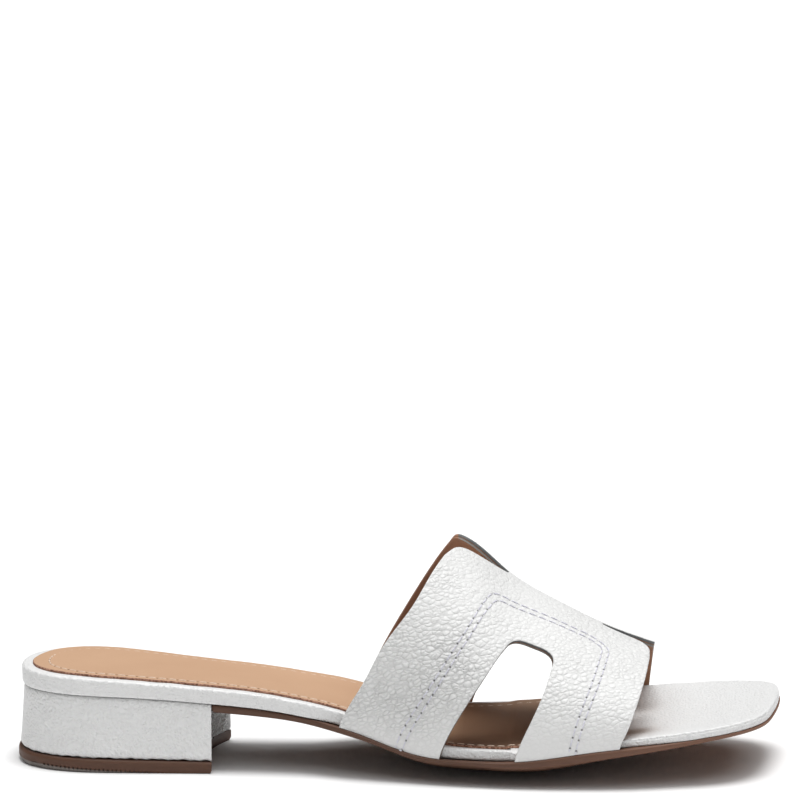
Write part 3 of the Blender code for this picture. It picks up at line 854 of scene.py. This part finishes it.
# Two parallel rows of lockstitch run round each window. A row is given as rounded corners, as the window is.
STITCH_PITCH = 3.5
ROW_OFFSETS = (0.0, 2.1)
ROW_ENDS = 1.4  # from a row's end to its first needle hole
ROW = [(125.5, 131.2, 1, 0), (135.2, 140.5, 0.852, 5), (141.5, 146.5, 0.728, 5), (148.5, 152.5, 0.556, 5),
       (156.3, 158.3, 0.27, 4), (171, 173, 0.209, 8), (188, 190, 0.207, 3), (193.9, 195.9, 0.262, 3.2),
       (193.1, 196.2, 0.37, 3), (190.6, 195.5, 0.6, 8), (183.4, 191, 1, 0)]


def stitch_row(corners, offset):
    """A row moved sideways by offset: its flat points, their length along the leather, and the needle's stops."""
    line = resample(rounded(corners), 700)
    closer = np.interp(line[:, :1], (150, 160), (0.74, 1.0))  # the two rows draw together on the rear leg
    line = line - left_of(np.gradient(line, axis=0)) * offset * closer
    line[:, 1] = np.clip(line[:, 1], -ACROSS_MM, ACROSS_MM)
    length = lengths_along(on_strap(line)[0])
    stops = np.linspace(ROW_ENDS, length[-1] - ROW_ENDS, int(round(length[-1] / STITCH_PITCH)))
    return line, length, stops


rows = [stitch_row(on_side(ROW, side), (1, -1)[side] * offset) for side in (0, 1) for offset in ROW_OFFSETS]
needle_holes = np.concatenate([points_at(stops, length, line) for line, length, stops in rows])
seam_lines = np.concatenate([line[::4] for line, _, _ in rows])


def rings_round(centres, radii, count=8):
    """Flat points that make circles of the given radii round each centre on the strap, and the centres."""
    turn = np.arange(count) * 2 * np.pi / count
    circle = np.stack([np.cos(turn), np.sin(turn)], 1)
    step = np.array([0.0, 0.2])
    stretch = np.linalg.norm(on_strap(centres + step)[0] - on_strap(centres - step)[0], axis=1) / (2 * step[1])
    circles = circle[None] / np.stack([np.ones_like(stretch), stretch], 1)[:, None]
    return np.concatenate([centres] + [(centres[:, None] + circles * radius).reshape(-1, 2) for radius in radii])


HOLE_RINGS = (0.24, 0.42, 0.75)  # radii of the points set round each needle hole
HOLE_CLEAR = 1.15  # the sheet's own points keep this far from a hole


def cut_sheet(loop, step, insets, holes=None):
    """A flat pattern meshed with triangles: points, triangles, and each point's ring (0 at the cut, -1 inside).

    Rings of the outline at the given insets are kept as edges, so that the cut can be rounded. The sheet is filled
    with a field of points step apart, in rows 0.87 of a step apart. Points are set round the needle holes, so that
    they can be sunk.
    """
    inward = left_of(np.roll(loop, -1, axis=0) - np.roll(loop, 1, axis=0))
    rings = [loop + inward * inset for inset in (0.0, *insets)]
    low, high = loop.min(0), loop.max(0)
    field = np.stack(np.meshgrid(np.arange(low[0], high[0], step), np.arange(low[1], high[1], step * 0.87)), -1)
    field[1::2, :, 0] += step / 2
    field = field.reshape(-1, 2)
    field = field[clear_inside(field, loop, insets[-1] + step * 0.55)]
    if holes is not None:
        field = field[nearest(field, holes) > HOLE_CLEAR]
        around = rings_round(holes, HOLE_RINGS)
        field = np.vstack([field, around[clear_inside(around, loop, insets[-1] + 0.1)]])
    points = np.vstack(rings + [field])
    edges = [(k * len(loop) + n, k * len(loop) + (n + 1) % len(loop))
             for k in range(len(rings)) for n in range(len(loop))]
    flat, _, triangles, origin, *_ = delaunay_2d_cdt(
        [Vector(p) for p in points], edges, [list(range(len(loop)))], 1, 1e-5)
    ring = np.full(len(flat), -1)
    for k, sources in enumerate(origin):
        if sources and sources[0] < len(rings) * len(loop):
            ring[k] = sources[0] // len(loop)
    flat, triangles = np.array(flat), np.array(triangles)
    one, two = (flat[triangles[:, k]] - flat[triangles[:, 0]] for k in (1, 2))
    turned = one[:, 0] * two[:, 1] - one[:, 1] * two[:, 0] < 0
    triangles[turned] = triangles[turned][:, ::-1]
    return flat, triangles, ring


def strap_layer(flat, triangles, ring, outer, inner, soften, dent=0.0):
    """A layer of the strap between two depths under its outer face: vertices, faces, and each face's part.

    soften lists how far the cut's rings are sunk below the layer's faces, and dent sinks the outer face's points.
    The parts are 0 outer face, 1 cut edge and 2 inner face. The cut edge is three rows of faces high.
    """
    base, normal = on_strap(flat)
    sink = np.zeros(len(flat))
    for k, depth in enumerate(soften):
        sink[ring == k] = depth
    top = base - normal * (outer + sink + dent)[:, None]
    bottom = base - normal * (inner - sink)[:, None]
    pairs = np.concatenate([triangles[:, [0, 1]], triangles[:, [1, 2]], triangles[:, [2, 0]]])
    key = np.sort(pairs, axis=1) @ np.array([len(flat), 1])
    _, first, seen = np.unique(key, return_index=True, return_counts=True)
    border = pairs[first[seen == 1]]
    rim, place = np.unique(border, return_inverse=True)
    place = place.reshape(border.shape)
    middle = [top[rim] * (1 - level) + bottom[rim] * level for level in (0.33, 0.66)]
    loops = [border, 2 * len(flat) + place, 2 * len(flat) + len(rim) + place, len(flat) + border]
    walls = np.concatenate([np.stack([upper[:, 1], upper[:, 0], lower[:, 0], lower[:, 1]], 1)
                            for upper, lower in zip(loops[:-1], loops[1:])])
    faces = triangles.tolist() + (len(flat) + triangles[:, ::-1]).tolist() + walls.tolist()
    part = np.repeat([0, 2, 1], [len(triangles), len(triangles), len(walls)])
    return np.concatenate([top, bottom, *middle]), faces, part


# Tumbled leather with a pebbled grain of 1 to 2 mm: rounded cells between soft creases, deeper in some patches,
# under an opaque white finish with a low sheen. An attribute says where a needle hole's painted shade shows.
pebbled_white, add, shader = new_finish("pebbled_white_leather", 0.5)
where = add("TexCoord", {}, "Object")
bend = add("TexNoise", {"Vector": where, "Scale": per_metre(3)}, "Color")
bent = add("VectorMath", {0: bend, 1: (1.6 * MM,) * 3, 2: where}, operation="MULTIPLY_ADD")
slanted = {"Vector": bent, "Rotation": (0.0, -0.3, 0.0), "Scale": (1.3, 1.0, 0.72)}
slanted = add("Mapping", slanted, vector_type="TEXTURE")
cells = {"Vector": slanted, "Scale": per_metre(1.7), "Randomness": 0.85}
crease = add("TexVoronoi", cells, feature="DISTANCE_TO_EDGE")
dome = add("TexVoronoi", {**cells, "Smoothness": 0.5}, feature="SMOOTH_F1")
dome = add("Math", {0: dome, 1: dome}, operation="MULTIPLY")
broad = add("TexNoise", {"Vector": bent, "Scale": per_metre(5.0), "Detail": 1.0})
patchy, fine = (add("TexNoise", {"Vector": where, "Scale": per_metre(size)}) for size in (16, 0.4))
flat_top = add("MapRange", {0: crease, 2: 0.22}, interpolation_type="SMOOTHSTEP")
depth = add("MapRange", {0: patchy, 1: 0.3, 2: 0.7, 3: 0.55})
# the grain is shallow low on the legs, deepest toward the heel, and shallow again up by the ridge
for axis, start, end, share, end_share in (
        ("Z", 0.011, 0.027, 0.22, 1.15), ("X", 0.012, 0.042, 1.7, 0.9), ("Z", 0.036, 0.058, 1.0, 0.5)):
    place = add("SeparateXYZ", {0: where}, axis)
    drift = add("MapRange", {0: place, 1: start, 2: end, 3: share, 4: end_share}, interpolation_type="SMOOTHSTEP")
    depth = add("Math", {0: depth, 1: drift}, operation="MULTIPLY")
height = broad
for relief, weight in ((dome, -4.2), (flat_top, 0.8)):
    height = add("Math", {0: relief, 1: weight, 2: height}, operation="MULTIPLY_ADD")
height = add("Math", {0: height, 1: depth}, operation="MULTIPLY")
height = add("Math", {0: fine, 1: 0.26, 2: height}, operation="MULTIPLY_ADD")
bump = add("Bump", {"Height": height, "Distance": 0.12 * MM})
painted_crease_shade = add("Math", {0: 1.0, 1: flat_top}, operation="SUBTRACT")  # painted shade in the creases
painted_crease_shade = add("Math", {0: painted_crease_shade, 1: depth}, operation="MULTIPLY")
painted_hole_shade = add("Attribute", {}, "Fac", attribute_name="painted_hole_shade")
tint = "#dededd"
for share, shade in ((painted_crease_shade, "#d0d0cf"), (painted_hole_shade, "#37373d")):
    tint = add("Mix", {0: share, 6: tint, 7: shade}, 2, data_type="RGBA")
connect(shader, {"Base Color": tint, "Normal": bump})

# Edge paint: a flexible grey lacquer brushed on the cut, slightly uneven.
edge_paint = mottled_finish("grey_edge_paint", 0.5, cloud_mm=1.5, detail=3.0, shades=("#4e5151", "#757777"))[0]

# Pigskin-like brown lining leather, matt, and darker by the strap's back edge.
brown_lining, add, shader, where, _, tint = mottled_finish(
    "brown_lining_leather", 0.65, cloud_mm=5, detail=4.0, shades=("#996d52", "#ae8266"))
nap = add("TexNoise", {"Vector": where, "Scale": per_metre(0.5)})
along = add("SeparateXYZ", {0: where}, "X")
darker_to_back = add("MapRange", {0: along, 1: 0.022, 2: 0.008, 4: 0.75})
tint = add("Mix", {0: darker_to_back, 6: tint, 7: "#785440"}, 2, data_type="RGBA")
bump = add("Bump", {"Height": nap, "Strength": 0.4, "Distance": 0.06 * MM})
connect(shader, {"Base Color": tint, "Normal": bump})

# The lining's cut edge, where the paint is thin and greyer.
thin_paint, _, shader = new_finish("thin_edge_paint", 0.6)
connect(shader, {"Base Color": "#817e79"})


def bare_edge(vertices, faces, finish, brown):
    """Finishes of a layer's faces, with its medial rear cut edge left brown instead of painted."""
    middle = np.array([vertices[face[0]] + vertices[face[2]] for face in faces]) / 2
    rear = (middle[:, 0] < REAR_NOTCH[-1][0] - 0.5) & (middle[:, 1] > 9.0)
    return np.where(rear & (finish == 1), brown, finish)


CHANNEL, PIT = 0.06, 0.3  # how deep the thread pulls the leather in along a row, and at a needle hole
HOLE_SHADE = 0.31  # a hole's painted shade fades out within 1.45 times this
leather_cut = cut_sheet(strap_pattern(step=0.6), step=0.75, insets=(0.18, 0.5), holes=needle_holes)
laid = on_strap(leather_cut[0])[0]
to_hole = nearest(laid, on_strap(needle_holes)[0])
to_seam = nearest(laid, on_strap(seam_lines)[0])
dent = CHANNEL * bell(to_seam, 0.8) + PIT * bell(to_hole, 0.3)
leather = strap_layer(*leather_cut, outer=0.0, inner=LEATHER, soften=(0.2, 0.04, 0.0), dent=dent)
painted_hole_shade = np.zeros(len(leather[0]))
on_leg = ramp(np.abs(leather_cut[0][:, 1]) / ACROSS_MM, 0.25, 0.4)  # painted hole shade, weaker on the crossbar, which faces the light from above
# painted shade round each needle hole
painted_hole_shade[:len(dent)] = np.clip(1.45 - to_hole / HOLE_SHADE, 0, 1) * (0.4 + 0.6 * on_leg)
add_piece("upper_leather", leather, [pebbled_white, edge_paint, brown_lining],
          face_finish=bare_edge(*leather, 2), replaces="upper", attributes={"painted_hole_shade": painted_hole_shade})
lining_cut = cut_sheet(strap_pattern(step=1.2), step=1.6, insets=(0.3,))
lining = strap_layer(*lining_cut, outer=LEATHER + 0.02, inner=WALL, soften=(0.06, 0.0))
add_piece("upper_lining", lining, [brown_lining, thin_paint],
          face_finish=bare_edge(*lining[:2], np.where(lining[2] == 1, 1, 0), 0))

# Strap stitching
# Twisted polyester thread, very pale lilac, lockstitched through leather and lining. Each stitch comes up out of
# one needle hole, lies in the channel and goes down the next.

THREAD = 0.21
HOLE_EDGE = 0.32  # from a needle hole to the stitch's visible end
ROW_END_GAP = 0.1  # the row's first and last stitch end this far inside it

# Polyester sewing thread: fibres at a slant give a faint rib and a soft sheen.
pale_thread, add, shader, _, fibre, _ = mottled_finish(
    "pale_lilac_thread", 0.5, cloud_mm=0.25, detail=2.0, shades=("#cecdd9", "#dddce4"))
connect(shader, {"Normal": add("Bump", {"Height": fibre, "Strength": 0.5, "Distance": 0.05 * MM})})


def in_channel(distance, line, length):
    """Distances along a row, laid on the channel's floor in the strap, and the normals there."""
    laid, normal = on_strap(points_at(distance, length, line))
    return laid + normal * 0.02, normal


def join(parts):
    """Several (vertices, faces) as one."""
    vertices, faces, shift = [], [], 0
    for some_vertices, some_faces in parts:
        vertices.append(some_vertices)
        faces += [[k + shift for k in face] for face in some_faces]
        shift += len(some_vertices)
    return np.concatenate(vertices), faces


add_piece("strap_stitches", join([
    threads(np.r_[ROW_END_GAP, stops + HOLE_EDGE], np.r_[stops - HOLE_EDGE, length[-1] - ROW_END_GAP],
            lambda distance: in_channel(distance, line, length), THREAD, rise=0.5)
    for line, length, stops in rows]), [pale_thread])

# Floor, light and camera
# A pale studio floor under a broad overhead light in a wide white canopy, with a weak fill light low in front.

floor_finish, _, shader = new_finish("pale_studio_floor", 0.9)
connect(shader, {"Specular IOR Level": 0.1, "Base Color": "#f2f2f2"})
floor_mesh = bpy.data.meshes.new("floor")
floor_mesh.from_pydata([(-9, -9, 0), (9, -9, 0), (9, 9, 0), (-9, 9, 0)], [], [(0, 1, 2, 3)])
floor_mesh.materials.append(floor_finish)
in_scene("floor", floor_mesh)

world = bpy.data.worlds.new("white_surround")
bpy.context.scene.world = world
world.use_nodes = True
connect(world.node_tree.nodes["Background"], {"Color": "#ffffff", "Strength": 0.04})


def add_light(name, energy, width, tilt_back, tilt_along):
    """A distant light seen width degrees wide, tilted from straight overhead."""
    light = bpy.data.lights.new(name, "SUN")
    light.energy = energy
    light.angle = np.radians(width)
    in_scene(name, light).rotation_euler = Euler((np.radians(tilt_back), np.radians(tilt_along), 0))


add_light("overhead_softbox", energy=2.2, width=30, tilt_back=0, tilt_along=5)
add_light("canopy", energy=1.85, width=90, tilt_back=0, tilt_along=2)
add_light("front_fill", energy=0.3, width=50, tilt_back=63, tilt_along=14)

camera_data = bpy.data.cameras.new("camera")
camera_data.lens = 219.04
camera_data.sensor_width = 36.0
camera_data.clip_end = 30.0
camera = in_scene("camera", camera_data)
camera.location = (0.08245, -1.56103, 0.36266)
camera.rotation_euler = Euler((np.radians(90 - 8.8544), 0, np.radians(3.0)))
bpy.context.scene.camera = camera
bpy.context.scene.view_settings.view_transform = "Standard"
